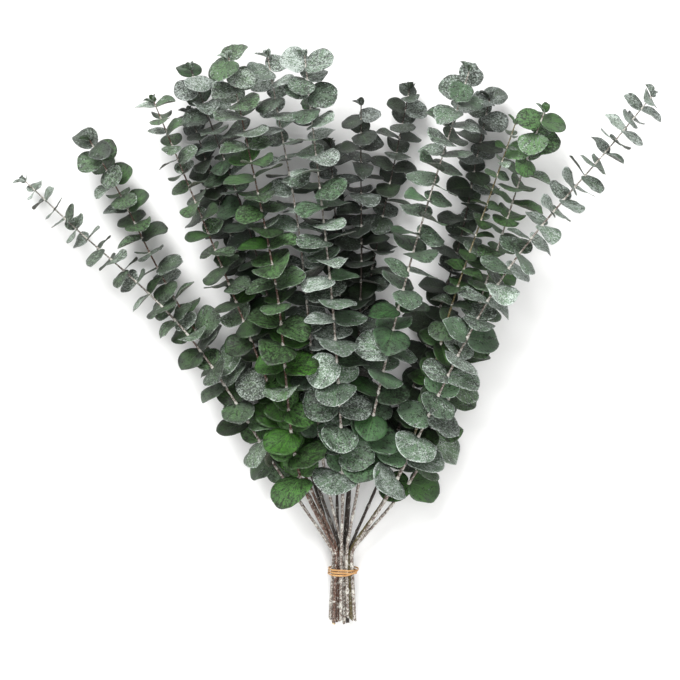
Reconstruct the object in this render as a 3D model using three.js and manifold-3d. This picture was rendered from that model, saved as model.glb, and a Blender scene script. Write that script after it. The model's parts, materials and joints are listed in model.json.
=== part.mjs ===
// A bunch of dried silver-dollar eucalyptus lying on a flat surface: sixteen leafy sprigs whose bare stalks
// are gathered by a rubber band wound three times round them. Millimetres, +Z up. +Y runs along the bunch
// from the cut ends to the tips, +X across the fan, and the origin is on the surface, under the middle of
// the bunch. Each sprig grew as one piece, so its stem and leaves are one solid.
import * as THREE from "three";
import Module from "manifold-3d";

const wasm = await Module();
wasm.setup();

// The fan of leafy sprigs, from the middle of the band and the surface
const FAN_WIDTH = 560;
const FAN_LENGTH = 484;
const FAN_HEIGHT = 100;

// Stalks, where they are bound
const STEM_RADIUS = 1.8; // at the cut end
const TWIG_RADIUS = 0.6; // at the growing tip
const CORNER = 1.2; // how far a stem's four corners stand out, in radii
const STALK_GAP = 0.8; // air between two bound stalks
const STALK_STEP = 2 * CORNER * STEM_RADIUS + STALK_GAP; // from one bound stalk to the next
const COLUMNS = 4;
const ROWS = 4;
const HANDLE_LENGTH = 46; // from the cut ends to the middle of the band
const HANDLE_RISE = 7; // how much higher the band lies than the cut ends
const HANDLE_FLARE = 1.25; // the cut ends stand this much wider apart than the bound stalks
const BOUND_LENGTH = 16; // the stalks run side by side this far on each side of the band
const BEND_LENGTH = 5; // where they begin to bend apart
const CUT_SPREAD = 5; // the stalks are cut this much longer and shorter

// Leafy stems
const NOD_LENGTH = 55; // stretch of stem that turns up at the tip
const NODE_HEIGHT = 2.2; // stretch of stem that one pair of leaves grows from
const PITCH_LOW = 22; // from one pair of leaves to the next, near the stalk
const PITCH_HIGH = 12; // the same, near the tip
const TIP_MARGIN = 3; // stem past the last pair
const STRAIGHT_STEP = 17; // longest piece of bare stalk between two rings
const TURN_DRIFT = 4; // degrees that each pair turns past the quarter turn
const TURN_JITTER = 13; // degrees that a pair strays by
const FIRST_SEED = 17; // the first sprig's chance, and how far the next one's is from it
const SEED_STEP = 101;

// Rubber band
const BAND_WIDTH = 1.8;
const BAND_THICKNESS = 1;
const BAND_TURNS = 3;
const BAND_GAP = 0.6; // between two strands
const BAND_PITCH = BAND_WIDTH + BAND_GAP; // from one strand to the next
const BAND_CLEARANCE = 0.4;
const BAND_STEPS = 28; // in one turn
const BAND_CROSSING = 0.25; // share of a turn in which the last strand goes back over the others
const BAND_HUMP = 1.7; // how high it goes over them, in thicknesses

// Leaves
const LEAF_THICKNESS = 1.2; // through the middle, down to nothing at the edge
const LEAF_GAP = 0.4; // kept free round each leaf
const LOW_WIDTH = 1.22; // width over length of the lowest leaves
const HIGH_WIDTH = 1.04; // and of the highest
const LOW_SPREAD = 88; // degrees between the lowest leaves and the growing end of the stem
const HIGH_SPREAD = 79; // and the highest
const SPREAD_JITTER = 14; // degrees that a leaf strays by
const DROOP = 31; // degrees that the leaves on top of a stem hang further back
const RISE = 22; // degrees that the leaves under it reach further forward
const FACE_UP = 32; // degrees that the leaves at its sides turn their faces to the sky
const TWIST_JITTER = 21; // degrees that a leaf strays by
const LEAST_SPREAD = 22; // a leaf that is pushed aside spreads no less than this
const MOST_SPREAD = 150; // and no more than this
const SIZE_JITTER = 0.1; // share of its length that a leaf strays by
const WIDTH_JITTER = 0.08; // and of its width
const CUP = 0.07; // how far a leaf's sides lift past its middle, as a share of its length
const CUP_JITTER = 0.05;
const CURL = 0.06; // how far its tip bends back, as a share of its length
const CURL_JITTER = 0.08;
const LEANS = [0, -14, 14, -28, 28, -42, 42, -56]; // degrees that a leaf may lean to find room
const TURNS = [0, -16, 16, -30, 30]; // degrees that it may turn round its stem
const SMALLER = [1, 0.8]; // and how small it may stay

// A leaf's free outline, as shares of its length along it (u) and across it (v), from one side of its base
// round to the other.
const OUTLINE = [
  [0.14, -0.44],
  [0.72, -0.44],
  [1, 0],
  [0.72, 0.44],
  [0.14, 0.44],
];
const MIDDLE = 0.46; // where a leaf is thickest, as a share of its length
const NEAR_CUP = 0.6; // how far its sides lift near the stem, as a share of how far they lift past the middle

// A sprig's column and row are its place among the bound stalks, from the left and from the surface. Its
// stem passes through a shoulder, a waist and a tip, given in hundredths of the fan's width, length and
// height, and its last stretch turns up so far that the tip ends higher by nod. leaf is the length of its
// lowest and highest leaves, and bare the length of stalk with no leaves.
function grow(column, row, [shoulder, waist, tip], nod, leaf, bare) {
  return { column, row, shoulder, waist, tip, nod, leaf, bare };
}

// The sprigs from left to right.
const SPRIGS = [
  grow(0, 2, [[-10, 18.5, 32], [-25.5, 45.5, 44], [-52, 74, 24]], 0, [28, 15], 142),
  grow(0, 1, [[-8, 19.5, 23], [-27, 51, 29], [-41, 81.5, 22]], 22, [28, 22], 150),
  grow(1, 2, [[-7.2, 21.5, 35.5], [-18, 53.5, 54], [-30.5, 88.5, 38]], 8, [28, 17], 154),
  grow(0, 0, [[-6, 21.5, 15], [-16.5, 57.5, 18], [-25, 87, 17]], 0, [28, 20], 162),
  grow(1, 1, [[-5.5, 21.5, 26], [-15, 64, 38], [-24.5, 94.5, 34]], 14, [28, 22], 162),
  grow(0, 3, [[-7, 19, 46], [-10.5, 53.5, 78], [-18, 95.5, 60]], 24, [30, 25], 144),
  grow(2, 2, [[-3, 20, 37], [-7, 64, 56], [-12, 96.5, 46]], 14, [29, 24], 158),
  grow(1, 0, [[-1, 20, 15], [-0.5, 55.5, 18], [-2, 81, 16]], 6, [29, 20], 178),
  grow(1, 3, [[0, 19, 47], [-1.5, 49, 80], [-6, 96, 64]], 16, [31, 24], 142),
  grow(2, 1, [[1.5, 21.5, 26], [3, 54.5, 38], [3, 88, 28]], 18, [28, 20], 160),
  grow(2, 0, [[1.5, 23.5, 15], [4.5, 54.5, 18], [11, 91.5, 17]], 8, [28, 19], 168),
  grow(2, 3, [[3.5, 22, 49], [10.5, 57, 79], [20, 93, 60]], 26, [30, 24], 150),
  grow(3, 0, [[7, 20, 15], [19, 61.5, 19], [24, 89.5, 18]], 14, [29, 22], 162),
  grow(3, 2, [[9.5, 19.5, 37], [18, 52, 56], [28, 84.5, 44]], 0, [27, 10], 154),
  grow(3, 1, [[12.6, 20, 25.5], [24, 57, 36], [32.5, 86.5, 28]], 26, [29, 23], 144),
  grow(3, 3, [[8, 16, 42], [25, 54.5, 68], [50, 89.5, 44]], 4, [31, 19], 146),
];

const rad = THREE.MathUtils.degToRad;
const lerp = THREE.MathUtils.lerp;
const vector = (x, y, z) => new THREE.Vector3(x, y, z);
const UP = vector(0, 0, 1);

// The sum of each direction times its share.
function combine(...terms) {
  return terms.reduce((sum, [direction, share]) => sum.addScaledVector(direction, share), vector(0, 0, 0));
}

// ---- A closed surface, built up from points and flat faces ----

class Shell {
  constructor() {
    this.points = [];
    this.triangles = [];
  }

  add(point) {
    return this.points.push(point) - 1;
  }

  // A flat face, counter-clockwise from outside.
  face(...corners) {
    for (let i = 2; i < corners.length; i++) this.triangles.push(corners[0], corners[i - 1], corners[i]);
  }

  // The faces from an apex to each edge of a closed loop.
  fan(apex, loop) {
    loop.forEach((corner, i) => this.face(apex, corner, loop[(i + 1) % loop.length]));
  }

  // The wall between two rings of points. open says which of its sides are left for something else to close.
  wall(low, high, open = []) {
    low.forEach((corner, i) => {
      const next = (i + 1) % low.length;
      if (!open.includes(i)) this.face(corner, low[next], high[next], high[i]);
    });
  }

  positions() {
    return new Float32Array(this.points.flatMap((point) => point.toArray()));
  }

  geometry() {
    return new THREE.BufferGeometry()
      .setAttribute("position", new THREE.BufferAttribute(this.positions(), 3))
      .setIndex(this.triangles);
  }

  solid() {
    const triVerts = new Uint32Array(this.triangles);
    return new wasm.Manifold(new wasm.Mesh({ numProp: 3, vertProperties: this.positions(), triVerts }));
  }
}

// Evenly spread numbers from -1 to 1, the same in each build.
function seeded(seed) {
  let state = seed >>> 0;
  return () => {
    state = (state + 0x6d2b79f5) >>> 0;
    let mixed = Math.imul(state ^ (state >>> 15), state | 1);
    mixed ^= mixed + Math.imul(mixed ^ (mixed >>> 7), mixed | 61);
    return ((mixed ^ (mixed >>> 14)) >>> 0) / 2 ** 31 - 1;
  };
}

// ---- Stems ----

// Where a stalk crosses the middle of the band.
function boundPlace({ column, row }) {
  const nest = (row % 2 ? 1 : -1) * (STALK_STEP / 4);
  const low = HANDLE_RISE + STEM_RADIUS;
  return vector((column - (COLUMNS - 1) / 2) * STALK_STEP + nest, 0, low + row * STALK_STEP);
}

// The cut end of a stalk, and where it crosses the middle of the band.
function stalkEnds(sprig) {
  const bound = boundPlace(sprig);
  const end = vector(bound.x * HANDLE_FLARE, -HANDLE_LENGTH, bound.z - HANDLE_RISE);
  return { end, bound };
}

function stemCurve(sprig, random) {
  const { end, bound } = stalkEnds(sprig);
  const handle = bound.clone().sub(end).normalize();
  const straight = [-BOUND_LENGTH, BOUND_LENGTH - BEND_LENGTH, BOUND_LENGTH];
  const fan = vector(FAN_WIDTH, FAN_LENGTH, FAN_HEIGHT).divideScalar(100);
  const [shoulder, waist, tip] = [sprig.shoulder, sprig.waist, sprig.tip].map((place) => {
    return vector(...place).multiply(fan);
  });
  const neck = tip.clone().add(waist.clone().sub(tip).setLength(NOD_LENGTH));
  const places = [
    end.addScaledVector(handle, CUT_SPREAD * random()),
    ...straight.map((run) => bound.clone().addScaledVector(handle, run)),
    shoulder,
    waist,
    neck,
    tip.addScaledVector(UP, sprig.nod),
  ];
  return new THREE.CatmullRomCurve3(places, false, "centripetal");
}

// The stem's place, its direction and the two directions across it at a length along it, with 0 at the cut
// end.
function stemFrame(curve, length, along) {
  const share = THREE.MathUtils.clamp(along / length, 0, 1);
  const forward = curve.getTangentAt(share);
  const side = vector(0, 0, 0).crossVectors(UP, forward).normalize();
  const up = vector(0, 0, 0).crossVectors(forward, side);
  const radius = lerp(STEM_RADIUS, TWIG_RADIUS, share);
  return { middle: curve.getPointAt(share), forward, side, up, radius };
}

// Straight out from the stem, turned by an angle from its side towards the sky.
const outward = (frame, angle) => combine([frame.side, Math.cos(angle)], [frame.up, Math.sin(angle)]);

// Four corners round the stem, so that its sides face the angle and each quarter turn from it.
function stemRing(frame, angle, shift = 0) {
  const middle = combine([frame.middle, 1], [frame.forward, shift]);
  return [-45, 45, 135, 225].map((corner) => {
    return combine([middle, 1], [outward(frame, angle + rad(corner)), frame.radius * CORNER]);
  });
}

// How far along the stem each pair of leaves grows.
function nodeLengths(sprig, length) {
  const found = [];
  const last = length - TIP_MARGIN;
  for (let along = sprig.bare; along < last; ) {
    found.push(along);
    along += lerp(PITCH_LOW, PITCH_HIGH, (along - sprig.bare) / (last - sprig.bare));
  }
  return found;
}

// ---- Leaves ----

// A leaf's size and lie. share is 0 at the lowest pair and 1 at the tip, up is 1 on top of the stem and -1
// under it, and across is 1 and -1 at its two sides.
function leafHabit({ leaf, random }, share, up, across) {
  const lean = up > 0 ? DROOP * up : RISE * up;
  return {
    size: lerp(leaf[0], leaf[1], share) * (1 + SIZE_JITTER * random()),
    width: lerp(LOW_WIDTH, HIGH_WIDTH, share) * (1 + WIDTH_JITTER * random()),
    spread: rad(lerp(LOW_SPREAD, HIGH_SPREAD, share) + lean + SPREAD_JITTER * random()),
    twist: rad(TWIST_JITTER * random() - FACE_UP * across),
    cup: CUP + CUP_JITTER * random(),
    curl: CURL + CURL_JITTER * random(),
  };
}

// The corners of a leaf that grows from the stem's middle at an angle round it. spread is its angle from the
// stem's growing end, twist turns it about its own length, cup lifts its sides and curl bends its tip back.
function leafCorners(frame, angle, habit) {
  const out = outward(frame, angle);
  const along = combine([out, Math.sin(habit.spread)], [frame.forward, Math.cos(habit.spread)]);
  const level = vector(0, 0, 0).crossVectors(frame.forward, out);
  const face = vector(0, 0, 0).crossVectors(along, level);
  const across = combine([level, Math.cos(habit.twist)], [face, Math.sin(habit.twist)]);
  const normal = combine([face, Math.cos(habit.twist)], [level, -Math.sin(habit.twist)]);
  const { size, width } = habit;
  const at = (u, v, lift) => {
    return combine([frame.middle, 1], [along, u * size], [across, v * size * width], [normal, lift]);
  };
  const outline = OUTLINE.map(([u, v]) => {
    if (!v) return at(u, v, -habit.curl * size);
    return at(u, v, habit.cup * size * (u > MIDDLE ? 1 : NEAR_CUP));
  });
  return { outline, top: at(MIDDLE, 0, LEAF_THICKNESS / 2), under: at(MIDDLE, 0, -LEAF_THICKNESS / 2) };
}

// Grows a leaf out of one side of a stem. low and high are that side's two corners below the leaf and above
// it.
function growLeaf(shell, low, high, corners) {
  const [first, ...rest] = corners.outline.map((point) => shell.add(point));
  const last = rest[rest.length - 1];
  shell.fan(shell.add(corners.top), [high[0], first, ...rest, high[1]]);
  shell.fan(shell.add(corners.under), [low[1], ...rest.toReversed(), first, low[0]]);
  shell.face(low[0], first, high[0]);
  shell.face(high[1], last, low[1]);
}

// A leaf by itself, with the side of the stem that it grows from.
function looseLeaf(side, corners) {
  const shell = new Shell();
  const [low, high] = side.map((pair) => pair.map((point) => shell.add(point)));
  growLeaf(shell, low, high, corners);
  shell.face(low[0], high[0], high[1], low[1]);
  return shell.solid();
}

// The room a leaf takes up: the leaf with air all round it, so that it has a rim as thick as the gap.
function leafRoom(side, corners) {
  const shell = new Shell();
  const [low, high] = side.map((pair) => pair.map((point) => shell.add(point)));
  const middle = combine([corners.top, 0.5], [corners.under, 0.5]);
  const air = corners.top.clone().sub(corners.under).setLength(LEAF_GAP);
  const rim = corners.outline.map((point) => {
    return point.clone().add(point.clone().sub(middle).setLength(LEAF_GAP));
  });
  const above = rim.map((point) => shell.add(point.clone().add(air)));
  const below = rim.map((point) => shell.add(point.clone().sub(air)));
  const top = shell.add(corners.top.clone().add(air));
  const under = shell.add(corners.under.clone().sub(air));
  const last = rim.length - 1;
  shell.fan(top, [high[0], ...above, high[1]]);
  shell.fan(under, [low[1], ...below.toReversed(), low[0]]);
  for (let i = 0; i < last; i++) shell.face(below[i], below[i + 1], above[i + 1], above[i]);
  shell.face(low[0], below[0], above[0], high[0]);
  shell.face(high[1], above[last], below[last], low[1]);
  shell.face(low[0], high[0], high[1], low[1]);
  return shell.solid();
}

// What stands in the bunch so far: solids that each know the sprig they belong to and how far up it they
// are.
const standing = [];

function stand(solid, owner, node) {
  const { min, max } = solid.boundingBox();
  standing.push({ solid, min, max, owner, node });
}

const farApart = (a, b) => [0, 1, 2].some((axis) => a.min[axis] > b.max[axis] || a.max[axis] < b.min[axis]);

function isClear(room, owner, node) {
  const box = room.boundingBox();
  if (box.min[2] < 0) return false;
  return standing.every((other) => {
    const joined = other.owner === owner && Math.abs(other.node - node) < 1;
    if (joined || farApart(box, other)) return true;
    const shared = room.intersect(other.solid);
    const free = shared.isEmpty();
    shared.delete();
    return free;
  });
}

// Ways a leaf gives way to what it would touch, the slightest first: it leans up or down its stem and turns
// round it, and if that isn't enough it stays smaller.
const YIELDS = LEANS.flatMap((lean) => TURNS.map((turn) => ({ lean, turn })))
  .sort((a, b) => Math.abs(a.lean) + Math.abs(a.turn) - Math.abs(b.lean) - Math.abs(b.turn));

// The corners of the leaf in the first way that leaves it clear, or nothing if it has no room and has
// dropped off.
function roomFor(plan, node, angle, habit, side) {
  const { frame } = plan.nodes[node];
  for (const scale of SMALLER) {
    for (const { lean, turn } of YIELDS) {
      const spread = THREE.MathUtils.clamp(habit.spread + rad(lean), rad(LEAST_SPREAD), rad(MOST_SPREAD));
      const corners = leafCorners(frame, angle + rad(turn), { ...habit, spread, size: habit.size * scale });
      const room = leafRoom(side, corners);
      const clear = isClear(room, plan.owner, node);
      room.delete();
      if (clear) {
        stand(looseLeaf(side, corners), plan.owner, node);
        return corners;
      }
    }
  }
  return null;
}

// ---- Sprigs ----

// A closed piece of stem between two rings.
function stemPiece(from, to) {
  const shell = new Shell();
  const [low, high] = [from, to].map((ring) => ring.map((point) => shell.add(point)));
  shell.wall(low, high);
  shell.face(...low.toReversed());
  shell.face(...high);
  return shell.solid();
}

// Works out a sprig's stem and where its pairs of leaves grow, and stands its stem in the bunch.
function planSprig(sprig, owner) {
  const random = seeded(FIRST_SEED + SEED_STEP * owner);
  const curve = stemCurve(sprig, random);
  const length = curve.getLength();
  const start = Math.PI * random();
  // Pairs stand crosswise. turn is what is left over from a quarter turn, so that the stem's corners twist
  // no more.
  const nodes = nodeLengths(sprig, length).map((along, node) => {
    const frame = stemFrame(curve, length, along);
    const turn = start + rad(TURN_DRIFT * node + TURN_JITTER * random());
    const [low, high] = [-0.5, 0.5].map((half) => stemRing(frame, turn, half * NODE_HEIGHT));
    return { frame, turn, low, high };
  });
  const bareSteps = Math.ceil(sprig.bare / STRAIGHT_STEP);
  const bareEnd = sprig.bare - NODE_HEIGHT;
  const bare = Array.from({ length: bareSteps }, (_, i) => {
    return stemRing(stemFrame(curve, length, (i * bareEnd) / bareSteps), start);
  });
  const end = stemRing(stemFrame(curve, length, length), nodes[nodes.length - 1].turn);
  const rings = [...bare, ...nodes.flatMap(({ low, high }) => [low, high]), end];
  rings.slice(1).forEach((ring, i) => stand(stemPiece(rings[i], ring), owner, (i - bareSteps) / 2 + 0.25));
  return { ...sprig, owner, random, curve, length, nodes, bare, end, leaves: [] };
}

// The sides of the stem that the two leaves of a pair grow from.
const pairSides = (node) => [node % 2, (node % 2) + 2];

// Finds room for one pair of leaves.
function growPair(plan, node) {
  const { turn, low, high } = plan.nodes[node];
  const share = node / (plan.nodes.length - 1);
  plan.leaves[node] = pairSides(node).map((side) => {
    const angle = turn + rad(90 * side);
    const habit = leafHabit(plan, share, Math.sin(angle), Math.cos(angle));
    const corners = [low, high].map((ring) => [ring[side], ring[(side + 1) % 4]]);
    return roomFor(plan, node, angle, habit, corners);
  });
}

function sprigShell(plan) {
  const shell = new Shell();
  const addRing = (ring) => ring.map((point) => shell.add(point));
  const [base, ...bare] = plan.bare.map(addRing);
  shell.face(...base.toReversed());
  let below = base;
  const wallTo = (ring, open) => {
    shell.wall(below, ring, open);
    below = ring;
  };
  bare.forEach((ring) => wallTo(ring));
  plan.nodes.forEach((node, i) => {
    const [low, high] = [node.low, node.high].map(addRing);
    const sides = pairSides(i).filter((_, half) => plan.leaves[i][half]);
    wallTo(low);
    wallTo(high, sides);
    pairSides(i).forEach((side, half) => {
      const next = (side + 1) % 4;
      const corners = plan.leaves[i][half];
      if (corners) growLeaf(shell, [low[side], low[next]], [high[side], high[next]], corners);
    });
  });
  wallTo(addRing(plan.end));
  shell.face(...below);
  return shell;
}

// ---- Rubber band ----

// How far the stalks reach from the middle of the bundle in a direction across them, this far along it.
function bundleReach(direction, centre, y) {
  const reaches = SPRIGS.map((sprig) => {
    const { end, bound } = stalkEnds(sprig);
    const crossing = end.lerp(bound, 1 + y / HANDLE_LENGTH);
    return crossing.sub(centre).dot(direction);
  });
  return Math.max(...reaches) + STEM_RADIUS * CORNER;
}

// One closed strand: it climbs turn by turn along the stalks, and then goes back over its own turns to
// where it began.
function bandShell() {
  const centre = vector(0, 0, HANDLE_RISE + STEM_RADIUS + ((ROWS - 1) * STALK_STEP) / 2);
  const steps = BAND_TURNS * BAND_STEPS;
  const crossing = Math.round(BAND_CROSSING * BAND_STEPS);
  const climb = (BAND_PITCH * (steps - crossing)) / BAND_STEPS;
  const path = Array.from({ length: steps }, (_, i) => {
    const angle = rad(90) + (2 * Math.PI * i) / BAND_STEPS;
    const out = vector(Math.cos(angle), 0, Math.sin(angle));
    const back = Math.max(0, (i - (steps - crossing)) / crossing);
    const climbed = back > 0 ? 1 - THREE.MathUtils.smoothstep(back, 0, 1) : i / (steps - crossing);
    const shift = climb * (climbed - 0.5);
    const over = Math.min(1, 2 * Math.sin(Math.PI * back)) * BAND_HUMP * BAND_THICKNESS;
    const distance = bundleReach(out, centre, shift) + BAND_CLEARANCE + BAND_THICKNESS / 2 + over;
    return centre.clone().addScaledVector(out, distance).setY(shift);
  });
  const shell = new Shell();
  const rings = path.map((point, i) => {
    const forward = path[(i + 1) % steps].clone().sub(path[(i + steps - 1) % steps]);
    const across = vector(0, -1, 0);
    const level = vector(0, 0, 0).crossVectors(forward, across).normalize();
    const corners = [[1, 1], [-1, 1], [-1, -1], [1, -1]];
    return corners.map(([outer, side]) => {
      const high = (outer * BAND_THICKNESS) / 2;
      const wide = (side * BAND_WIDTH) / 2;
      return shell.add(combine([point, 1], [level, high], [across, wide]));
    });
  });
  rings.forEach((ring, i) => shell.wall(rings[(i + 1) % steps], ring));
  return shell;
}

// ---- The bunch ----

const LEAF_ROUGHNESS = 0.75;
const RUBBER_ROUGHNESS = 0.6;
const SAGE = 0x7d9484;
const GREEN = 0x3f6b41;
const DARK = 0x39473f;
const TAN = 0xc9a36a;
const TINTS = [
  [GREEN, GREEN, GREEN, DARK],
  [SAGE, GREEN, SAGE, DARK],
  [SAGE, DARK, DARK, SAGE],
  [DARK, GREEN, GREEN, SAGE],
].flat();

function makeMesh(name, shell, color, roughness) {
  const material = new THREE.MeshStandardMaterial({ color, roughness, metalness: 0 });
  const mesh = new THREE.Mesh(shell.geometry(), material);
  mesh.name = name;
  return mesh;
}

// All the stems are laid out first. The leaves then find room, from the top row of sprigs down, and pair by
// pair.
const plans = SPRIGS.map((sprig, owner) => planSprig(sprig, owner));
for (let row = ROWS - 1; row >= 0; row--) {
  const level = plans.filter((plan) => plan.row === row);
  const most = Math.max(...level.map((plan) => plan.nodes.length));
  for (let node = 0; node < most; node++) {
    level.filter((plan) => node < plan.nodes.length).forEach((plan) => growPair(plan, node));
  }
}

const bunch = new THREE.Group();
plans.forEach((plan) => {
  const number = String(plan.owner + 1).padStart(2, "0");
  bunch.add(makeMesh(`sprig_${number}`, sprigShell(plan), TINTS[plan.owner], LEAF_ROUGHNESS));
});
bunch.add(makeMesh("rubber_band", bandShell(), TAN, RUBBER_ROUGHNESS));

// The origin is brought under the middle of the bunch, on the surface.
const box = new THREE.Box3().setFromObject(bunch);
const middle = box.getCenter(vector(0, 0, 0));
bunch.position.set(-middle.x, -middle.y, -box.min.z);

export default bunch;
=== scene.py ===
"""A bunch of dried silver-dollar eucalyptus, laid down: sixteen leafy sprigs and the band round their stalks."""

import json
import math
import random

import bmesh
import bpy
import numpy as np
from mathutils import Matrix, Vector


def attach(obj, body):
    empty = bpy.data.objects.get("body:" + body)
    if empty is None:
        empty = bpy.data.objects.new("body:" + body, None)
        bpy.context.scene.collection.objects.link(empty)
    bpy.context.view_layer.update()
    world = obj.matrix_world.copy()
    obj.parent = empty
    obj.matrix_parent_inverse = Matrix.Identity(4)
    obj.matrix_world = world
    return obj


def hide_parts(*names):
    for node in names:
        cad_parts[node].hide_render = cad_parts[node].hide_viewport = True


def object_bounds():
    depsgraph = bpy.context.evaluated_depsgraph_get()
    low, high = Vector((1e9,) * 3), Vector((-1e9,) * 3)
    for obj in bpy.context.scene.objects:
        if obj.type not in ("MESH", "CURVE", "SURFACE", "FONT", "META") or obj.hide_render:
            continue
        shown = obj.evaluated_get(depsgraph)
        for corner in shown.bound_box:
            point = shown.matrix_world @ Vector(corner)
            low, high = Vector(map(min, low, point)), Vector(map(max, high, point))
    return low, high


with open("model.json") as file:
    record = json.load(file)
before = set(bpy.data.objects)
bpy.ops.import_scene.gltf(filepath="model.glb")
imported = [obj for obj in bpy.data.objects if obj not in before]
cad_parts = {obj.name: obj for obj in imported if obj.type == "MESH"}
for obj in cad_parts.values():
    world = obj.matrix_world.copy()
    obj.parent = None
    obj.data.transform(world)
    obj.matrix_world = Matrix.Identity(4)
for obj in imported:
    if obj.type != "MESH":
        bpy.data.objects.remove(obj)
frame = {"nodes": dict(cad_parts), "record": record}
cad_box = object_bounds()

MM = 0.001
ANY_PHASE = 6.3  # a little over a whole turn, from which a wave's start is drawn

# ---- What each sprig is like ----

# One line a sprig: the wood of its stem, how much whitish bloom its lowest and highest leaves carry, and how far
# their green turns from deep to bright.
SPRIG_LOOKS = {
    "sprig_01": {"stem": "stem_pale", "bloom": (0.26, 0.80), "green": (0.50, 0.35)},
    "sprig_02": {"stem": "stem_brown", "bloom": (0.26, 0.48), "green": (0.40, 0.40)},
    "sprig_03": {"stem": "stem_brown", "bloom": (0.15, 0.50), "green": (0.45, 0.45)},
    "sprig_04": {"stem": "stem_dark", "bloom": (0.15, 0.45), "green": (0.50, 0.35)},
    "sprig_05": {"stem": "stem_dark", "bloom": (0.20, 0.54), "green": (0.45, 0.40)},
    "sprig_06": {"stem": "stem_brown", "bloom": (0.15, 0.60), "green": (0.90, 0.60)},
    "sprig_07": {"stem": "stem_pale", "bloom": (0.45, 0.58), "green": (0.50, 0.40)},
    "sprig_08": {"stem": "stem_dark", "bloom": (0.20, 0.30), "green": (0.50, 0.30)},
    "sprig_09": {"stem": "stem_pale", "bloom": (0.54, 0.62), "green": (0.85, 0.60)},
    "sprig_10": {"stem": "stem_dark", "bloom": (0.18, 0.50), "green": (0.40, 0.15)},
    "sprig_11": {"stem": "stem_dark", "bloom": (0.18, 0.40), "green": (0.55, 0.55)},
    "sprig_12": {"stem": "stem_pale", "bloom": (0.24, 0.58), "green": (0.75, 0.65)},
    "sprig_13": {"stem": "stem_dark", "bloom": (0.20, 0.55), "green": (0.50, 0.40)},
    "sprig_14": {"stem": "stem_olive", "bloom": (0.18, 0.45), "green": (0.55, 0.50)},
    "sprig_15": {"stem": "stem_pale", "bloom": (0.26, 0.38), "green": (0.65, 1.00)},
    "sprig_16": {"stem": "stem_pale", "bloom": (0.54, 0.84), "green": (0.80, 0.45)},
}

# ---- Where the leaves and stems of the solids are ----

MIDDLE = 0.46  # where a leaf's solid is thickest, as a share of its length
SIDE = 0.44  # how far its sides stand out, as a share of its width
LEAF_CORNERS = 5
PAIR_REACH = 2.7 * MM  # a stem's corners this near a pair of leaves belong to the pair
RING_APART = 4 * MM  # corners of the bare stalk further apart than this belong to different rings
CORNER = 1.2  # how far a stem's corners stand out, in radii
WELD = 0.001 * MM  # points nearer than this are one
ONE_PAIR = MM  # leaves whose feet are nearer than this grow as a pair


def weld(mesh):
    """The separate points of a mesh, and the neighbours of each."""
    found, index = {}, []
    for vertex in mesh.vertices:
        key = tuple(round(c / WELD) for c in vertex.co)
        index.append(found.setdefault(key, len(found)))
    points = np.zeros((len(found), 3))
    for vertex, i in zip(mesh.vertices, index):
        points[i] = vertex.co
    near = [set() for _ in found]
    for edge in mesh.edges:
        a, b = (index[v] for v in edge.vertices)
        if a != b:
            near[a].add(b)
            near[b].add(a)
    return points, near


def unit(direction):
    return direction / np.linalg.norm(direction)


def read_leaf(points, near, top, under):
    """Where one leaf grows and how it lies, from the two points in its middle."""
    rim = near[top] & near[under]
    above, below = (points[list(near[i] - rim)].mean(0) for i in (top, under))
    if above[1] < below[1]:
        top, under = under, top
    ends = [i for i in rim if len(near[i] & rim) == 1]
    chain = [ends[0]]
    while len(chain) < LEAF_CORNERS:
        chain.append(next(i for i in near[chain[-1]] & rim if i not in chain))
    middle = (points[top] + points[under]) / 2
    normal = unit(points[top] - points[under])
    across = unit(points[chain[-1]] - points[chain[0]])
    along = np.cross(across, normal)
    tip = points[chain[2]] - middle
    if tip @ along < 0:
        across, along = -across, -along
        chain.reverse()
    size = (tip @ along) / (1 - MIDDLE)
    return {
        "root": middle - MIDDLE * size * along,
        "along": along,
        "across": across,
        "normal": normal,
        "size": size,
        "width": np.linalg.norm(points[chain[-1]] - points[chain[0]]) / (2 * SIDE),
        "cup": np.mean([(points[chain[i]] - middle) @ normal for i in (1, 3)]) / size,
        "curl": -(tip @ normal) / size,
        "used": [top, under, *chain],
    }


def read_sprig(node):
    """A sprig's leaves from the stalk to the tip, and the points and radii of its stem."""
    points, near = weld(frame["nodes"][node].data)
    leaves, seen = [], set()
    for i in range(len(points)):
        if len(near[i]) != LEAF_CORNERS + 2 or i in seen:
            continue
        for j in set().union(*(near[k] for k in near[i])) - near[i] - {i}:
            if len(near[j]) == LEAF_CORNERS + 2 and len(near[i] & near[j]) == LEAF_CORNERS:
                leaf = read_leaf(points, near, i, j)
                leaves.append(leaf)
                seen.update(leaf["used"])
                break
    leaves.sort(key=lambda leaf: leaf["root"][1])
    pairs = []
    for leaf in leaves:
        if pairs and np.linalg.norm(pairs[-1] - leaf["root"]) < ONE_PAIR:
            continue
        pairs.append(leaf["root"])
    corners = [points[i] for i in range(len(points)) if i not in seen]
    plain = [c for c in corners if min(np.linalg.norm(c - root) for root in pairs) > PAIR_REACH]
    plain.sort(key=lambda corner: corner[1])
    rings = [[plain[0]]]
    for corner in plain[1:]:
        if corner[1] - rings[-1][-1][1] > RING_APART:
            rings.append([])
        rings[-1].append(corner)
    middles = [np.mean(ring, axis=0) for ring in rings]
    thick, thin = (
        np.mean([np.linalg.norm(c - m) for c in ring]) / CORNER
        for ring, m in ((rings[0], middles[0]), (rings[-1], middles[-1]))
    )
    line = sorted([*pairs, *middles], key=lambda point: point[1])
    return leaves, np.array(pairs), np.array(line), thick, thin


# ---- Meshes ----


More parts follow.
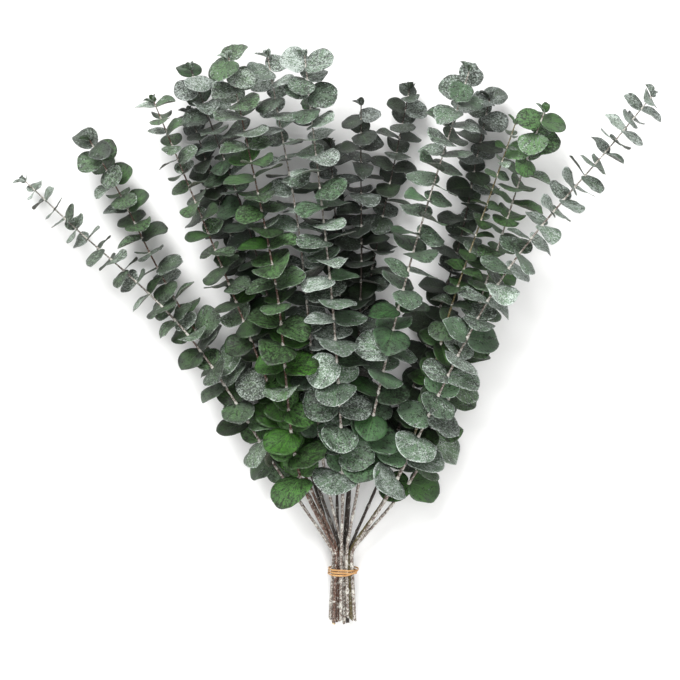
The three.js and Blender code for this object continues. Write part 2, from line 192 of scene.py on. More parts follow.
def make_piece(name, parts, material, node):
    """One object from several meshes, each a dictionary of points, faces and values at its points."""
    points = np.concatenate([part["points"] for part in parts])
    faces, start = [], 0
    for part in parts:
        faces.extend([[i + start for i in face] for face in part["faces"]])
        start += len(part["points"])
    mesh = bpy.data.meshes.new(name)
    mesh.from_pydata(points.tolist(), [], faces)
    for key in parts[0]["values"]:
        values = np.concatenate([part["values"][key] for part in parts]).astype(np.float32)
        mesh.attributes.new(key, "FLOAT_VECTOR", "POINT").data.foreach_set("vector", values.ravel())
    mesh.shade_smooth()
    mesh.materials.append(material)
    mesh.validate()
    piece = bpy.data.objects.new(name, mesh)
    bpy.context.scene.collection.objects.link(piece)
    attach(piece, "root")
    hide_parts(node)
    return piece


# ---- Leaves ----

SECTORS = 28
RINGS = 5
BLADE = 0.42 * MM  # thickness of a leaf in the middle
RIM = 0.26 * MM  # and at its edge
FRONT = 0.55  # how far a leaf reaches from its middle to its tip, as a share of its length
BACK = 0.49  # and from its middle to the lobes beside the stem
FULLNESS = 2.2  # 2 is an ellipse, and more is squarer
FULLNESS_VARIES = 0.25
NOTCH = 0.09  # half the width of the notch that clasps the stem
CLASP = 1.25  # how deep the notch is, in radii of the stem
EDGE_WAVES = ((1, 0.045), (2, 0.05), (3, 0.035), (5, 0.018), (7, 0.012), (11, 0.006))  # how many, and how far
TORN_SHARE = 0.22  # how many leaves have a bite out of their edge
TEAR_AT, TEAR_WIDTH = (0.6, 5.6), (0.12, 0.3)  # radians round the leaf from its tip
TEAR_DEPTH = (0.04, 0.13)
POINT, POINT_VARIES, POINT_WIDTH = 0.025, 0.035, 0.11  # how far a tip is drawn out, and over what width
RING_CROWDING = 0.85  # under 1, the rings crowd towards the edge
CURL_FROM, CURL_BEND = 0.2, 1.7  # where along a leaf it starts to curl, and how sharply it goes on
STEM_CUP, STEM_CUP_FROM, STEM_CUP_REACH = 0.6, 0.14, 0.4  # a leaf is cupped less beside its stem
CUP_BEND = (1.3, 1.9)  # 1 folds a leaf like a V, and 2 bends it evenly
FOLDED_SHARE = 0.3  # how many leaves are folded along the midrib
FOLD, FOLD_ROUNDING = (0.4, 1.6), 0.02  # how sharply, and how rounded the fold is
BLADE_WAVES = ((2, 0.04), (3, 0.035), (4, 0.025), (6, 0.014), (9, 0.006))  # how many, and how high
CALM = 0.3  # waves fade over this share of the length, towards the stem
FULL_GROWN = 20 * MM  # a shorter leaf is thinner
BLOOM_VARIES, GREEN_VARIES = 0.17, 0.16
MOST_BLOOM = 0.70
REST = 0.05 * MM  # everything stays at least this far above the surface


def leaf_outline(leaf, stem_radius, chance):
    """The leaf's edge as shares of its length and width, from its tip all the way round."""
    turn = np.linspace(0, 2 * math.pi, SECTORS, endpoint=False)
    cos, sin = np.cos(turn), np.sin(turn)
    full = 2 / (FULLNESS + chance.uniform(-FULLNESS_VARIES, FULLNESS_VARIES))
    uneven = 1 + sum(
        size * chance.uniform(-1, 1) * np.sin(waves * turn + chance.uniform(0, ANY_PHASE))
        for waves, size in EDGE_WAVES
    )
    if chance.random() < TORN_SHARE:
        torn = (turn - chance.uniform(*TEAR_AT)) / chance.uniform(*TEAR_WIDTH)
        uneven -= chance.uniform(*TEAR_DEPTH) * np.exp(-(torn**2))
    reach = np.where(cos > 0, FRONT, BACK)
    u = MIDDLE + np.sign(cos) * np.abs(cos) ** full * reach * uneven
    v = np.sign(sin) * np.abs(sin) ** full * 0.5 * uneven
    point = max(0, chance.gauss(POINT, POINT_VARIES))
    u += point * np.exp(-((v / POINT_WIDTH) ** 2)) * (cos > 0)
    clasp = CLASP * stem_radius / leaf["size"]
    hold = np.exp(-((v / NOTCH) ** 2)) * (cos < 0)
    return u * (1 - hold) + clasp * hold, v, turn


def leaf_mesh(leaf, stem_radius, share, look, chance, underside=1.0):
    """One leaf: an upper and a lower skin that meet in a thin edge."""
    edge_u, edge_v, turn = leaf_outline(leaf, stem_radius, chance)
    rho = np.linspace(0, 1, RINGS + 1)[1:] ** RING_CROWDING
    u = np.concatenate([[MIDDLE], (MIDDLE + rho[:, None] * (edge_u - MIDDLE)).ravel()])
    v = np.concatenate([[0], (rho[:, None] * edge_v).ravel()])
    out = np.concatenate([[0], np.repeat(rho, SECTORS)])
    round_ = np.concatenate([[0], np.tile(turn, RINGS)])
    bend = np.clip((u - CURL_FROM) / (1 - CURL_FROM), 0, 1.2) ** CURL_BEND
    near_stem = STEM_CUP + (1 - STEM_CUP) * np.clip((u - STEM_CUP_FROM) / STEM_CUP_REACH, 0, 1)
    aside = np.abs(v) / SIDE
    fold = aside ** chance.uniform(*CUP_BEND)
    if chance.random() < FOLDED_SHARE:
        fold = fold + chance.uniform(*FOLD) * (np.sqrt(aside**2 + FOLD_ROUNDING) - 0.14)
    waves = sum(
        size * chance.uniform(-1, 1) * np.sin(n * round_ + chance.uniform(0, ANY_PHASE)) * out**2
        for n, size in BLADE_WAVES
    )
    lift = leaf["cup"] * fold * near_stem - leaf["curl"] * bend + waves * np.clip(u / CALM, 0, 1)
    size, width = leaf["size"], leaf["width"]
    middle = (
        leaf["root"]
        + np.outer(u * size, leaf["along"])
        + np.outer(v * width, leaf["across"])
        + np.outer(lift * size, leaf["normal"])
    )
    thin = (BLADE + (RIM - BLADE) * out**2) * min(1, size / FULL_GROWN) / 2
    top = middle + np.outer(thin, leaf["normal"])
    under = middle - np.outer(thin, leaf["normal"])
    low = np.minimum(top[:, 2], under[:, 2])
    lifted = np.maximum(0, REST - low)
    top[:, 2] += lifted
    under[:, 2] += lifted
    count = len(u)
    faces = []
    for i in range(SECTORS):
        j = (i + 1) % SECTORS
        faces.append([0, 1 + i, 1 + j])
        for ring in range(RINGS - 1):
            a, b = 1 + ring * SECTORS, 1 + (ring + 1) * SECTORS
            faces.append([a + i, b + i, b + j, a + j])
    lower = [[count + i for i in reversed(face)] for face in faces]
    last = 1 + (RINGS - 1) * SECTORS
    edge = [
        [last + i, count + last + i, count + last + (i + 1) % SECTORS, last + (i + 1) % SECTORS]
        for i in range(SECTORS)
    ]
    low_bloom, high_bloom = look["bloom"]
    low_green, high_green = look["green"]
    bloom = low_bloom + (high_bloom - low_bloom) * share + chance.gauss(0, BLOOM_VARIES)
    bloom = min(bloom, MOST_BLOOM)
    green = low_green + (high_green - low_green) * share + chance.gauss(0, GREEN_VARIES)
    place = np.stack([u, v, out], 1)
    own = np.tile([chance.random(), chance.random(), chance.random()], (2 * count, 1))
    upper_tone = np.tile([bloom, green, 0.0], (count, 1))
    lower_tone = np.tile([bloom, green, underside], (count, 1))
    return {
        "points": np.concatenate([top, under]),
        "faces": faces + lower + edge,
        "values": {
            "leaf_place": np.concatenate([place, place]),
            "leaf_tone": np.concatenate([upper_tone, lower_tone]),
            "leaf_own": own,
        },
    }


TIP_LEAVES = 4  # two pairs, the inner one first
TIP_SPREADS = (22, 52)  # degrees from the way the tip points
TIP_SIZES = (6.5, 11)
TIP_WIDTH = 0.7
TIP_CUP, TIP_CURL = 0.16, 0.1
TIP_STEM = 0.4 * MM
TIP_UNDERSIDE = 0.2  # new leaves are nearly as green below as above


def tip_leaves(line, look, chance):
    """The small new leaves that stand round a sprig's growing tip."""
    end = line[-1]
    ahead = unit(line[-1] - line[-3])
    side = unit(np.cross(ahead, [0, 0, 1]))
    above = np.cross(side, ahead)
    made = []
    for i in range(TIP_LEAVES):
        angle = math.radians(90 * i + chance.uniform(-20, 20))
        spread = math.radians(TIP_SPREADS[i // 2] + chance.uniform(-8, 8))
        out = math.cos(angle) * side + math.sin(angle) * above
        along = math.cos(spread) * ahead + math.sin(spread) * out
        across = unit(np.cross(ahead, out))
        size = TIP_SIZES[i // 2] * MM * (1 + 0.2 * chance.uniform(-1, 1))
        leaf = {
            "root": end - (0.5 + 1.2 * (i // 2)) * MM * ahead,
            "along": along,
            "across": across,
            "normal": np.cross(along, across),
            "size": size,
            "width": size * TIP_WIDTH,
            "cup": TIP_CUP,
            "curl": TIP_CURL,
        }
        made.append(leaf_mesh(leaf, TIP_STEM, 1, look, chance, underside=TIP_UNDERSIDE))
    return made


# ---- Stems ----

STEM_SIDES = 10
STEM_STEP = 1.6 * MM
BETWEEN_JOINTS = 0.86  # a stem's thickness between its joints, as a share of its solid's
SWELLING = 0.42  # how much thicker it is where leaves grow
OLD_SWELLING = 0.20  # and where leaves once grew
SWELLING_VARIES, SWELLING_REACH = (0.7, 1.2), (1.5, 2.3)  # shares, and millimetres along the stem
OLD_JOINTS_FROM = 34 * MM  # the bare stalk has old joints down to about this far from its cut end
OLD_JOINTS_APART = (22, 28)  # millimetres
SQUARENESS = 0.05  # how far a stem's four corners stand out
BARK_ROUGHNESS = 0.16  # how uneven a stem's thickness is
SLANT = (0.3, 0.9)  # of the cut, as shares of the stem's thickness
TIP_THICKNESS = 0.4


def smooth_line(line, step):
    """A curve through the points, as points about a step apart, and the length along it at each."""
    pads = np.concatenate([[2 * line[0] - line[1]], line, [2 * line[-1] - line[-2]]])
    made = []
    for a, b, c, d in zip(pads, pads[1:], pads[2:], pads[3:]):
        count = max(1, round(np.linalg.norm(c - b) / step))
        for t in np.arange(count) / count:
            square, cube = 2 * a - 5 * b + 4 * c - d, 3 * b - a - 3 * c + d
            made.append(0.5 * (2 * b + (c - a) * t + square * t**2 + cube * t**3))
    made.append(line[-1])
    made = np.array(made)
    lengths = np.concatenate([[0], np.cumsum(np.linalg.norm(np.diff(made, axis=0), axis=1))])
    return made, lengths


def stem_mesh(line, pairs, thick, thin, chance):
    """A stem: thicker where each pair of leaves grows or once grew, cut at a slant below and closed at the tip."""
    path, lengths = smooth_line(line, STEM_STEP)
    share = lengths / lengths[-1]
    radius = thick + (thin - thick) * share
    joints = [lengths[np.argmin(np.linalg.norm(path - pair, axis=1))] for pair in pairs]
    bare_to = joints[0]
    while joints[0] > OLD_JOINTS_FROM:
        joints.insert(0, joints[0] - chance.uniform(*OLD_JOINTS_APART) * MM)
    swelling = sum(
        (OLD_SWELLING if at < bare_to else SWELLING)
        * chance.uniform(*SWELLING_VARIES)
        * np.exp(-(((lengths - at) / (chance.uniform(*SWELLING_REACH) * MM)) ** 2))
        for at in joints
    )
    radius = radius * (BETWEEN_JOINTS + swelling)
    radius[-1] *= TIP_THICKNESS
    ahead = np.gradient(path, axis=0)
    ahead /= np.linalg.norm(ahead, axis=1)[:, None]
    side = np.cross(ahead, [0, 0, 1])
    side /= np.linalg.norm(side, axis=1)[:, None]
    above = np.cross(side, ahead)
    turn = np.linspace(0, 2 * math.pi, STEM_SIDES, endpoint=False)
    # The stem is a little four-sided, and its corners change over from one pair of leaves to the next.
    pair_number = np.interp(lengths, joints, np.arange(len(joints)))
    square = 1 + SQUARENESS * np.cos(4 * turn[None, :] + math.pi * pair_number[:, None])
    rough = np.array([[chance.uniform(-1, 1) for _ in turn] for _ in path])
    rough = (rough + np.roll(rough, 1, 0) + np.roll(rough, -1, 0)) / 3
    reach = radius[:, None] * square * (1 + BARK_ROUGHNESS * rough)
    ring = np.cos(turn)[None, :, None] * side[:, None] + np.sin(turn)[None, :, None] * above[:, None]
    points = path[:, None] + reach[..., None] * ring
    slant = chance.uniform(*SLANT) * thick
    lean = chance.uniform(0, ANY_PHASE)
    points[0] += np.outer(slant * np.cos(turn - lean), ahead[0])
    count = len(path)
    faces = []
    for i in range(count - 1):
        for j in range(STEM_SIDES):
            k = (j + 1) % STEM_SIDES
            a, b = i * STEM_SIDES, (i + 1) * STEM_SIDES
            faces.append([a + j, b + j, b + k, a + k])
    cut, tip = count * STEM_SIDES, count * STEM_SIDES + 1
    last = (count - 1) * STEM_SIDES
    for j in range(STEM_SIDES):
        k = (j + 1) % STEM_SIDES
        faces.append([cut, j, k])
        faces.append([tip, last + k, last + j])
    knot = np.clip(swelling / SWELLING, 0, 1)
    place = np.stack([np.repeat(lengths, STEM_SIDES), np.tile(turn, count), np.repeat(knot, STEM_SIDES)], 1)
    place = np.concatenate([place, [[-1, 0, 0], [lengths[-1], 0, 0]]])
    points = np.concatenate([points.reshape(-1, 3), [points[0].mean(0)], [path[-1] + 0.5 * MM * ahead[-1]]])
    points[:, 2] = np.maximum(points[:, 2], REST)
    return {"points": points, "faces": faces, "values": {"stem_place": place}}


# ---- Shader nodes ----


class Graph:
    """Makes and joins the nodes of one material or group."""

    def __init__(self, tree):
        self.tree = tree

    def add(self, kind, inputs=None, **settings):
        node = self.tree.nodes.new(kind)
        for key, value in settings.items():
            setattr(node, key, value)
        for key, value in (inputs or {}).items():
            self.join(value, node.inputs[key])
        return node

    def join(self, value, socket):
        if isinstance(value, bpy.types.NodeSocket):
            self.tree.links.new(value, socket)
        else:
            socket.default_value = value

    def math(self, operation, *values, clamp=False):
        node = self.add("ShaderNodeMath", operation=operation, use_clamp=clamp)
        for value, socket in zip(values, node.inputs):
            self.join(value, socket)
        return node.outputs[0]

    def band(self, value, low, high, to=(0, 1)):
        """Nothing up to low, rising smoothly to everything at high."""
        node = self.add("ShaderNodeMapRange", interpolation_type="SMOOTHSTEP")
        for key, at in {"Value": value, "From Min": low, "From Max": high, "To Min": to[0], "To Max": to[1]}.items():
            self.join(at, node.inputs[key])
        return node.outputs[0]

    def mix(self, share, first, second, blend="MIX"):
        node = self.add("ShaderNodeMix", data_type="RGBA", blend_type=blend, clamp_factor=True)
        self.join(share, node.inputs[0])
        self.join(first, node.inputs[6])
        self.join(second, node.inputs[7])
        return node.outputs[2]

    def noise(self, place, scale, detail=3, rough=0.55, stretch=0):
        values = {"Vector": place, "Scale": scale, "Detail": detail, "Roughness": rough, "Distortion": stretch}
        return self.add("ShaderNodeTexNoise", values).outputs["Fac"]

    def values_of(self, name):
        """The three numbers that the mesh holds at each point under a name."""
        read = self.add("ShaderNodeAttribute", attribute_name=name)
        split = self.add("ShaderNodeSeparateXYZ", {"Vector": read.outputs["Vector"]})
        return split.outputs

    def object_place(self):
        return self.add("ShaderNodeTexCoord").outputs["Object"]


def new_group(name, inputs, outputs):
    tree = bpy.data.node_groups.new(name, "ShaderNodeTree")
    kinds = {"colour": "NodeSocketColor", "number": "NodeSocketFloat"}
    for key, (kind, value) in inputs.items():
        socket = tree.interface.new_socket(name=key, in_out="INPUT", socket_type=kinds[kind])
        socket.default_value = value
    for key, kind in outputs.items():
        tree.interface.new_socket(name=key, in_out="OUTPUT", socket_type=kinds[kind])
    graph = Graph(tree)
    return graph, graph.add("NodeGroupInput").outputs, graph.add("NodeGroupOutput").inputs


def shade(red, green, blue):
    """A colour as a shader takes it, from the one seen on a screen, from 0 to 255."""
    return tuple(((c / 255 + 0.055) / 1.055) ** 2.4 if c > 10 else c / 3295 for c in (red, green, blue)) + (1.0,)


# Fineness of the textures, in waves to a metre.
BLOTCHES, SPECKS, PORES, GRAIN = 90, 740, 520, 3000
BARK_STREAKS, BARK_SPECKS, BARK_CRACKS = 160, 560, 800

# Rays to a radian round a leaf's foot, how often they break along the leaf, and how far apart two leaves' rays are.
RAYS, RAY_BREAKS, RAY_VARIES = 11.0, 2.4, 90.0

# Side veins to a leaf's length, how they slant and how they wander, and the green of all veins.
SIDE_VEINS, VEIN_SLANT, VEIN_WANDER = 8.5, -0.62, 0.16
VEIN_GREEN = (104, 138, 84)

# The green turns brighter in blotches and deeper towards the edge.
GREEN_BY_BLOTCHES, GREEN_AT_EDGE, GREEN_SHIFT = 1.3, -0.30, -0.48

# What bloom gathers on, where it starts and where it covers, how fully, and the even film besides; the pale rim at
# the edge is partly bloom and partly painted highlight.
BLOOM_BY_SPECKS, BLOOM_BY_RAYS, BLOOM_BY_BLOTCHES, BLOOM_BY_AMOUNT, BLOOM_AND_HIGHLIGHT_AT_EDGE = 0.50, 0.34, 0.26, 0.36, 0.09
BLOOM_LAID = (0.72, 0.85)
BLOOM_COVERS = 0.92
BLOOM_FILM = 0.33

# The same for dead spots.
SPOTS_BY_PORES, SPOTS_BY_RAYS, SPOTS_BY_LEAF = 0.62, 0.38, 0.09
SPOTS_LAID = (0.545, 0.60)
SPOTS_COVER = 0.82

# The brightness of a leaf's colour: the least, how far leaves differ, and how far the grain varies it.
LEAST_LIGHT, LIGHT_BY_LEAF, LIGHT_BY_GRAIN = 0.58, 0.50, 0.36

# Dust on the bark: where it starts and where it covers, and what a knot and the given amount add.
DUST_LAID = (0.66, 0.75)
KNOT_DUST, GIVEN_DUST = 0.13, 0.30
DUST_COVERS = 0.92


def make_leaf_skin():
    """The colour, roughness and relief of a leaf, upper and lower face."""
    graph, given, result = new_group(
        "leaf skin",
        {
            "Deep green": ("colour", shade(30, 44, 26)),
            "Bright green": ("colour", shade(78, 122, 62)),
            "Bloom": ("colour", shade(190, 202, 196)),
            "Underside": ("colour", shade(128, 130, 130)),
            "Dead spots": ("colour", shade(30, 34, 24)),
        },
        {"Colour": "colour", "Roughness": "number", "Height": "number"},
    )
    u, v, out = graph.values_of("leaf_place")
    bloom, green, lower = graph.values_of("leaf_tone")
    own, own_shade, own_spots = graph.values_of("leaf_own")
    place = graph.object_place()
    aside = graph.math("ABSOLUTE", v)

    # Rays run from the foot of the leaf to its edge.
    ray = graph.math("ARCTAN2", v, graph.math("ADD", u, 0.06))
    reach = graph.math("SQRT", graph.math("MULTIPLY_ADD", u, u, graph.math("MULTIPLY", v, v)))
    ray_values = {
        "X": graph.math("MULTIPLY", ray, RAYS),
        "Y": graph.math("MULTIPLY", reach, RAY_BREAKS),
        "Z": graph.math("MULTIPLY", own, RAY_VARIES),
    }
    ray_place = graph.add("ShaderNodeCombineXYZ", ray_values).outputs[0]
    rays = graph.noise(ray_place, 1.0, 4, 0.62, 0.5)
    blotch = graph.noise(place, BLOTCHES, 3, 0.55)
    speckle = graph.noise(place, SPECKS, 4, 0.74)
    pores = graph.noise(place, PORES, 3, 0.60, 0.9)
    grain = graph.noise(place, GRAIN, 2, 0.6)

    # Veins: a midrib, and side veins that leave it at a slant and fade before the edge.
    midrib = graph.math("MULTIPLY", graph.band(aside, 0.018, 0.003), graph.band(u, 1.0, 0.5))
    bent = graph.math("MULTIPLY_ADD", blotch, VEIN_WANDER, graph.math("MULTIPLY_ADD", aside, VEIN_SLANT, u))
    row = graph.math("FRACT", graph.math("MULTIPLY_ADD", bent, SIDE_VEINS, own))
    side_vein = graph.band(graph.math("ABSOLUTE", graph.math("SUBTRACT", row, 0.5)), 0.12, 0.02)
    side_vein = graph.math("MULTIPLY", side_vein, graph.band(out, 0.98, 0.5))
    veins = graph.math("MAXIMUM", midrib, graph.math("MULTIPLY", side_vein, 0.45))

    # The green under the bloom.
    tone = graph.math("MULTIPLY_ADD", out, GREEN_AT_EDGE, GREEN_SHIFT)
    tone = graph.math("MULTIPLY_ADD", blotch, GREEN_BY_BLOTCHES, tone)
    tone = graph.math("ADD", green, tone, clamp=True)
    skin = graph.mix(tone, given["Deep green"], given["Bright green"])
    mottle = graph.math("MULTIPLY_ADD", speckle, 0.6, graph.math("MULTIPLY", rays, 0.4))
    skin = graph.mix(graph.band(mottle, 0.44, 0.58, (0.0, 0.62)), skin, given["Deep green"])
    skin = graph.mix(graph.math("MULTIPLY", veins, 0.30), skin, shade(*VEIN_GREEN))

    # The bloom lies in specks, rays and patches, and thins out over the veins.
    field = graph.math("MULTIPLY_ADD", speckle, BLOOM_BY_SPECKS, graph.math("MULTIPLY", rays, BLOOM_BY_RAYS))
    field = graph.math("MULTIPLY_ADD", blotch, BLOOM_BY_BLOTCHES, field)
    # A pale rim round the edge: partly frosted bloom, partly a painted highlight standing in for light caught by the
    # edge.
    edge = graph.math("MULTIPLY", graph.band(out, 0.93, 1.0), BLOOM_AND_HIGHLIGHT_AT_EDGE)
    field = graph.math("ADD", field, graph.math("MULTIPLY_ADD", bloom, BLOOM_BY_AMOUNT, edge))
    laid = graph.band(field, *BLOOM_LAID)
    laid = graph.math("MULTIPLY", laid, graph.math("MULTIPLY_ADD", veins, -0.30, 1.0))
    film = graph.math("MULTIPLY", bloom, BLOOM_FILM)
    laid = graph.math("MAXIMUM", graph.math("MULTIPLY", laid, BLOOM_COVERS), film)
    dusty = graph.mix(graph.band(speckle, 0.42, 0.66, (0.30, 0.0)), given["Bloom"], skin)
    upper = graph.mix(laid, skin, dusty)

    # Dead spots and scratches, more of them on some leaves.
    spots = graph.math("MULTIPLY_ADD", pores, SPOTS_BY_PORES, graph.math("MULTIPLY", rays, SPOTS_BY_RAYS))
    spots = graph.math("MULTIPLY_ADD", own_spots, SPOTS_BY_LEAF, spots)
    spots = graph.band(spots, *SPOTS_LAID)
    upper = graph.mix(graph.math("MULTIPLY", spots, SPOTS_COVER), upper, given["Dead spots"])

    # The lower face is greyer, with rays, and its veins stand out pale.
    below = graph.mix(graph.band(rays, 0.40, 0.60, (0.10, 0.70)), given["Underside"], skin)
    below = graph.mix(graph.math("MULTIPLY", graph.band(speckle, 0.50, 0.66), 0.30), below, given["Bloom"])
    below = graph.mix(graph.math("MULTIPLY", veins, 0.28), below, given["Bloom"])
    below = graph.mix(graph.math("MULTIPLY", spots, 0.5), below, given["Dead spots"])
    colour = graph.mix(lower, upper, below)
    light = graph.math("MULTIPLY_ADD", own_shade, LIGHT_BY_LEAF, LEAST_LIGHT)
    light = graph.math("MULTIPLY_ADD", grain, LIGHT_BY_GRAIN, light)
    shade_of_leaf = graph.add("ShaderNodeCombineColor", {0: light, 1: light, 2: light}).outputs[0]
    colour = graph.mix(1.0, colour, shade_of_leaf, "MULTIPLY")
    graph.join(colour, result["Colour"])
    rough = graph.math("MULTIPLY_ADD", laid, 0.30, 0.44)
    graph.join(graph.math("MAXIMUM", rough, graph.math("MULTIPLY", lower, 0.7)), result["Roughness"])
    height = graph.math("MULTIPLY_ADD", veins, 0.55, graph.math("MULTIPLY", speckle, 0.5))
    height = graph.math("MULTIPLY_ADD", rays, 0.5, height)
    height = graph.math("MULTIPLY_ADD", spots, -0.45, height)
    graph.join(graph.math("MULTIPLY_ADD", laid, 0.2, height), result["Height"])
    return graph.tree


def make_bark():
    """The colour, roughness and relief of a thin twig."""
    graph, given, result = new_group(
        "twig bark",
        {
            "Bark": ("colour", shade(96, 70, 52)),
            "Shadow": ("colour", shade(48, 34, 26)),
            "Dust": ("colour", shade(205, 203, 194)),
            "Dust amount": ("number", 0.5),
            "Cut wood": ("colour", shade(214, 190, 146)),
        },
        {"Colour": "colour", "Roughness": "number", "Height": "number"},
    )
    along, round_, knot = graph.values_of("stem_place")
    place = graph.object_place()
    streak_values = {
        "X": graph.math("MULTIPLY", along, BARK_STREAKS),
        "Y": graph.math("SINE", round_),
        "Z": graph.math("COSINE", round_),
    }
    streak_place = graph.add("ShaderNodeCombineXYZ", streak_values).outputs[0]
    streaks = graph.noise(streak_place, 3.0, 4, 0.6)
    specks = graph.noise(place, BARK_SPECKS, 4, 0.72)
    cracks = graph.noise(place, BARK_CRACKS, 3, 0.65)
    bark = graph.mix(graph.band(streaks, 0.38, 0.60), given["Bark"], given["Shadow"])
    bark = graph.mix(graph.math("MULTIPLY", graph.band(cracks, 0.52, 0.62), 0.7), bark, given["Shadow"])
    amount = graph.math("MULTIPLY_ADD", given["Dust amount"], GIVEN_DUST, graph.math("MULTIPLY", knot, KNOT_DUST))
    field = graph.math("MULTIPLY_ADD", specks, 0.6, graph.math("MULTIPLY_ADD", streaks, 0.4, amount))
    laid = graph.math("MULTIPLY", graph.band(field, *DUST_LAID), DUST_COVERS)
    colour = graph.mix(laid, bark, given["Dust"])
    colour = graph.mix(graph.band(along, 0.0, -0.0004), colour, given["Cut wood"])
    graph.join(colour, result["Colour"])
    graph.join(graph.math("MULTIPLY_ADD", laid, 0.2, 0.6), result["Roughness"])
    graph.join(graph.math("MULTIPLY_ADD", specks, 0.5, graph.math("MULTIPLY", streaks, 0.6)), result["Height"])
    return graph.tree


def new_material(name, roughness=0.6):
    material = bpy.data.materials.new(name)
    material.use_nodes = True
    material.node_tree.nodes.clear()
    graph = Graph(material.node_tree)
    shader = graph.add("ShaderNodeBsdfPrincipled")
    output = graph.add("ShaderNodeOutputMaterial")
    graph.join(shader.outputs[0], output.inputs[0])
    shader.inputs["Roughness"].default_value = roughness
    return material, graph, shader


def grown_material(name, group, values, relief):
    """A material that takes its colour, roughness and relief from a group."""
    material, graph, shader = new_material(name)
    skin = graph.add("ShaderNodeGroup", node_tree=group)
    for key, value in values.items():
        skin.inputs[key].default_value = value
    graph.join(skin.outputs["Colour"], shader.inputs["Base Color"])
    graph.join(skin.outputs["Roughness"], shader.inputs["Roughness"])
    bump = graph.add("ShaderNodeBump", {"Height": skin.outputs["Height"], "Strength": 0.85, "Distance": relief})
    graph.join(bump.outputs[0], shader.inputs["Normal"])
    shader.inputs["Specular IOR Level"].default_value = 0.4
    return material


def make_rubber():
    material, graph, shader = new_material("rubber")
    place = graph.object_place()
    cloud = graph.noise(place, 240, 4, 0.6)
    dust = graph.noise(place, 1500, 3, 0.6)
    colour = graph.mix(graph.band(cloud, 0.3, 0.7), shade(196, 152, 96), shade(170, 122, 70))
    colour = graph.mix(graph.math("MULTIPLY", graph.band(dust, 0.5, 0.75), 0.35), colour, shade(224, 206, 172))
    graph.join(colour, shader.inputs["Base Color"])
    graph.join(graph.band(dust, 0.35, 0.7, (0.42, 0.62)), shader.inputs["Roughness"])
    bump = graph.add("ShaderNodeBump", {"Height": dust, "Strength": 0.4, "Distance": 0.00005})
    graph.join(bump.outputs[0], shader.inputs["Normal"])
    return material


# ---- The view, the light and the surface ----

VIEW_WIDTH = 0.612  # metres across the view, at the middle of the bunch's height
LENS = 100
SENSOR = 36
SURFACE_HALF = 6  # metres from the middle of the surface to its edge


def place_camera():
    low, high = (Vector(corner) for corner in cad_box)
    middle = (low + high) / 2
    data = bpy.data.cameras.new("camera")
    data.lens = LENS
    data.sensor_width = SENSOR
    data.clip_end = 20
    camera = bpy.data.objects.new("camera", data)
    camera.location = middle + Vector((0, 0, VIEW_WIDTH * LENS / SENSOR))
    bpy.context.scene.collection.objects.link(camera)
    bpy.context.scene.camera = camera


LIGHTS_AIM = (0, 0, 0.05)
WORLD_LIGHT = 0.30


def add_light(name, place, size, power):
    data = bpy.data.lights.new(name, "AREA")
    data.shape = "DISK"
    data.size = size
    data.energy = power
    light = bpy.data.objects.new(name, data)
    light.location = place
    light.rotation_euler = (Vector(LIGHTS_AIM) - Vector(place)).to_track_quat("-Z", "Y").to_euler()
    bpy.context.scene.collection.objects.link(light)


def light_studio():
    world = bpy.data.worlds.new("studio")
    world.use_nodes = True
    world.node_tree.nodes["Background"].inputs["Color"].default_value = (1, 1, 1, 1)
    world.node_tree.nodes["Background"].inputs["Strength"].default_value = WORLD_LIGHT
    bpy.context.scene.world = world
    add_light("key", (-0.9, 2.2, 2.6), 2.2, 136)
    add_light("overhead", (0.1, -0.2, 2.4), 2.2, 26)
    add_light("front", (0.7, -2.3, 1.5), 2.0, 54)
    bpy.context.scene.view_settings.view_transform = "Standard"


def lay_surface():
    material, graph, shader = new_material("pale surface", 0.75)
    mottle = graph.noise(graph.object_place(), 6, 3, 0.5)
    colour = graph.mix(graph.band(mottle, 0.3, 0.7), shade(247, 247, 246), shade(243, 243, 242))
    graph.join(colour, shader.inputs["Base Color"])
    mesh = bpy.data.meshes.new("surface")
    half = SURFACE_HALF
    corners = [(-half, -half, 0), (half, -half, 0), (half, half, 0), (-half, half, 0)]
    mesh.from_pydata(corners, [], [(0, 1, 2, 3)])
    mesh.materials.append(material)
    surface = bpy.data.objects.new("surface", mesh)
    bpy.context.scene.collection.objects.link(surface)


# ---- The bunch ----


def make_band(material):
    """The rubber band: the solid's strands, rounded."""
    mesh = bpy.data.meshes.new("rubber_band_wound")
    build = bmesh.new()
    build.from_mesh(frame["nodes"]["rubber_band"].data)
    bmesh.ops.remove_doubles(build, verts=build.verts, dist=0.01 * MM)
    bmesh.ops.join_triangles(
        build, faces=build.faces, angle_face_threshold=math.radians(40), angle_shape_threshold=math.radians(60)
    )
    build.to_mesh(mesh)
    build.free()
    mesh.materials.clear()
    mesh.materials.append(material)
    mesh.shade_smooth()
    band = bpy.data.objects.new("rubber_band_wound", mesh)
    bpy.context.scene.collection.objects.link(band)
    rounding = band.modifiers.new("rounding", "SUBSURF")
    rounding.levels = rounding.render_levels = 2
    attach(band, "root")
    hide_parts("rubber_band")


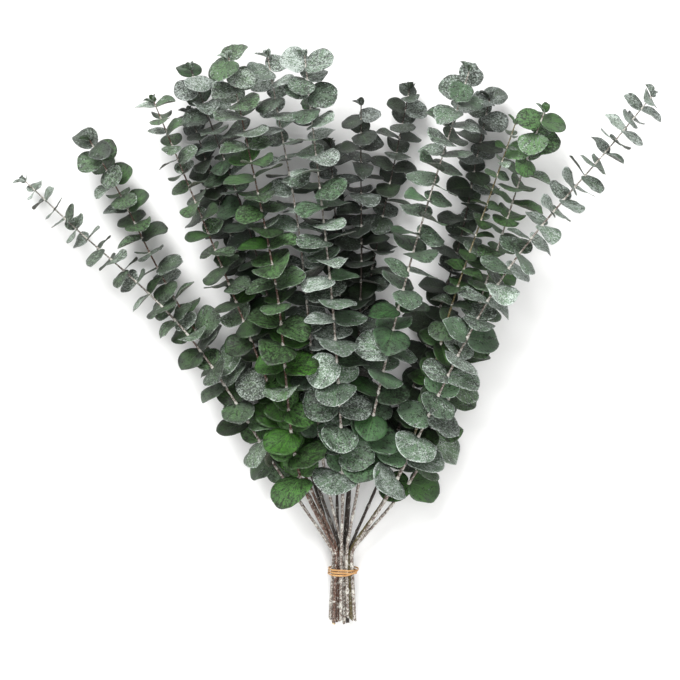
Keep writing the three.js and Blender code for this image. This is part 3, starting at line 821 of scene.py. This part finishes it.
def make_sprig(number, node, slot, materials):
    look = SPRIG_LOOKS[node]
    chance = random.Random(1000 + number)
    leaves, pairs, line, thick, thin = read_sprig(node)
    last = len(pairs) - 1
    parts = []
    for leaf in leaves:
        at = int(np.argmin(np.linalg.norm(pairs - leaf["root"], axis=1)))
        radius = thick + (thin - thick) * (0.25 + 0.75 * at / last)
        parts.append(leaf_mesh(leaf, radius, at / last, look, chance))
    parts.extend(tip_leaves(line, look, chance))
    make_piece(f"{node}_leaves", parts, materials[slot], node)
    stem = stem_mesh(line, pairs, thick, thin, chance)
    make_piece(f"{node}_stem", [stem], materials[look["stem"]], node)


LEAF_COLOURS = {
    "leaf_sage": {
        "Deep green": (28, 43, 29),
        "Bright green": (62, 108, 54),
        "Bloom": (208, 217, 212),
        "Underside": (112, 106, 106),
    },
    "leaf_green": {
        "Deep green": (20, 32, 16),
        "Bright green": (68, 118, 42),
        "Bloom": (194, 204, 197),
        "Underside": (92, 86, 80),
    },
    # leaf_deep is a darker copy of the leaf colours for the sprigs lying lowest in the bunch: partly their own
    # darker green, partly painted shade for the shaded inside of the bunch.
    "leaf_deep": {
        "Deep green": (16, 22, 14),
        "Bright green": (42, 68, 32),
        "Bloom": (158, 166, 162),
        "Underside": (66, 60, 58),
    },
}
STEM_COLOURS = {
    "stem_pale": ({"Bark": (122, 102, 92), "Shadow": (54, 43, 38)}, 0.62),
    "stem_brown": ({"Bark": (112, 78, 62), "Shadow": (52, 34, 26)}, 0.45),
    "stem_olive": ({"Bark": (118, 106, 60), "Shadow": (66, 58, 34)}, 0.40),
    "stem_dark": ({"Bark": (70, 58, 50), "Shadow": (30, 24, 20)}, 0.35),
}
LEAF_RELIEF = 0.35 * MM
STEM_RELIEF = 0.2 * MM


def make_materials():
    """The leaf and stem materials, by their slots."""
    leaf_skin = make_leaf_skin()
    bark = make_bark()
    materials = {}
    for slot, colours in LEAF_COLOURS.items():
        values = {key: shade(*colour) for key, colour in colours.items()}
        materials[slot] = grown_material(slot.replace("_", " "), leaf_skin, values, LEAF_RELIEF)
    for slot, (colours, dust) in STEM_COLOURS.items():
        values = {key: shade(*colour) for key, colour in colours.items()} | {"Dust amount": dust}
        materials[slot] = grown_material(slot.replace("_", " "), bark, values, STEM_RELIEF)
    return materials


def make_bunch():
    materials = make_materials()
    slots = {part["node"]: part["material_slot"] for part in frame["record"]["subparts"]}
    for number, node in enumerate(sorted(SPRIG_LOOKS)):
        make_sprig(number, node, slots[node], materials)
    make_band(make_rubber())


place_camera()
light_studio()
lay_surface()
make_bunch()
